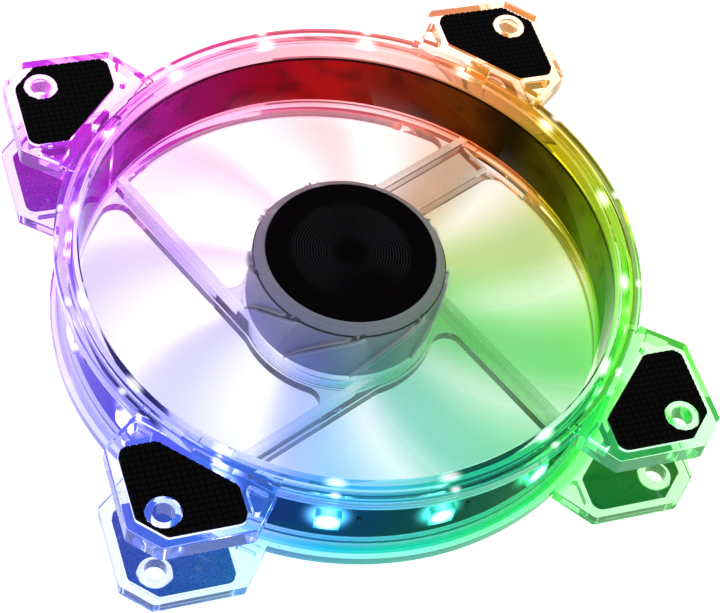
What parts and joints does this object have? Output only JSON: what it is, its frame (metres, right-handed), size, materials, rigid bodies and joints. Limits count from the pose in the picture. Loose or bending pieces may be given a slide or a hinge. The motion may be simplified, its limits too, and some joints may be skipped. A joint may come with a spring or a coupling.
{
  "type": "case fan",
  "caption": "Square axial cooling fan: clear ring frame with a ring of lights, rubber corner pads, frosted blades and a black hub label.",
  "frame": {"origin": "on the fan's axis at the rear face, where the rear pads rest", "axes": "+Z along the fan's axis from the rear (struts, exhaust) to the front (hub label, intake); X and Y along the square's sides"},
  "size_m": [0.12, 0.12, 0.025],
  "materials": {
    "clear_rear": "clear polycarbonate, lit from inside",
    "clear_front": "clear polycarbonate, lit from inside",
    "strip_film": "black flexible circuit",
    "led_package": "white LED package, lit",
    "frosted_blades": "frosted translucent moulding",
    "gloss_label": "gloss black disc",
    "pad_rubber": "black rubber with a fine woven texture",
    "yoke_steel": "drawn steel",
    "shaft_steel": "ground steel",
    "lamination_steel": "stacked sheet steel",
    "magnet_ferrite": "bonded ferrite",
    "sintered_bronze": "oil-filled sintered bronze",
    "copper_wire": "enamelled copper wire",
    "bobbin_plastic": "natural nylon",
    "white_polymer": "low-friction polymer",
    "black_polymer": "moulded polymer",
    "clip_plastic": "moulded acetal",
    "circuit_board": "green solder mask",
    "chip_black": "moulded chip package",
    "chip_ceramic": "ceramic capacitor",
    "rear_sticker": "blank dark sticker"
  },
  "bodies": {
    "frame": {"rear_frame": "clear_rear", "front_frame": "clear_front", "led_strip": "strip_film", "strip_resistors": "chip_black", "bearing_sleeve": "sintered_bronze", "thrust_pad": "white_polymer", "oil_seal": "black_polymer", "stator_core": "lamination_steel", "upper_insulator": "bobbin_plastic", "lower_insulator": "bobbin_plastic", "motor_board": "circuit_board", "driver_chip": "chip_black", "board_capacitor": "chip_ceramic", "board_resistors": "chip_black", "rear_label": "rear_sticker", "front_pad_1": "pad_rubber", "front_pad_2": "pad_rubber", "front_pad_3": "pad_rubber", "front_pad_4": "pad_rubber", "rear_pad_1": "pad_rubber", "rear_pad_2": "pad_rubber", "rear_pad_3": "pad_rubber", "rear_pad_4": "pad_rubber", "coil_1": "copper_wire", "coil_2": "copper_wire", "coil_3": "copper_wire", "coil_4": "copper_wire", "led_01": "led_package", "led_02": "led_package", "led_03": "led_package", "led_04": "led_package", "led_05": "led_package", "led_06": "led_package", "led_07": "led_package", "led_08": "led_package", "led_09": "led_package", "led_10": "led_package", "led_11": "led_package", "led_12": "led_package", "led_13": "led_package", "led_14": "led_package", "led_15": "led_package", "led_16": "led_package"},
    "rotor": {"impeller": "frosted_blades", "hub_label": "gloss_label", "rotor_yoke": "yoke_steel", "rotor_magnet": "magnet_ferrite", "shaft": "shaft_steel", "retaining_clip": "clip_plastic"}
  },
  "joints": [
    {"name": "rotor_spin", "type": "hinge", "parent": "frame", "child": "rotor", "pos_m": [0, 0, 0], "axis": [0, 0, 1], "continuous": true}
  ]
}
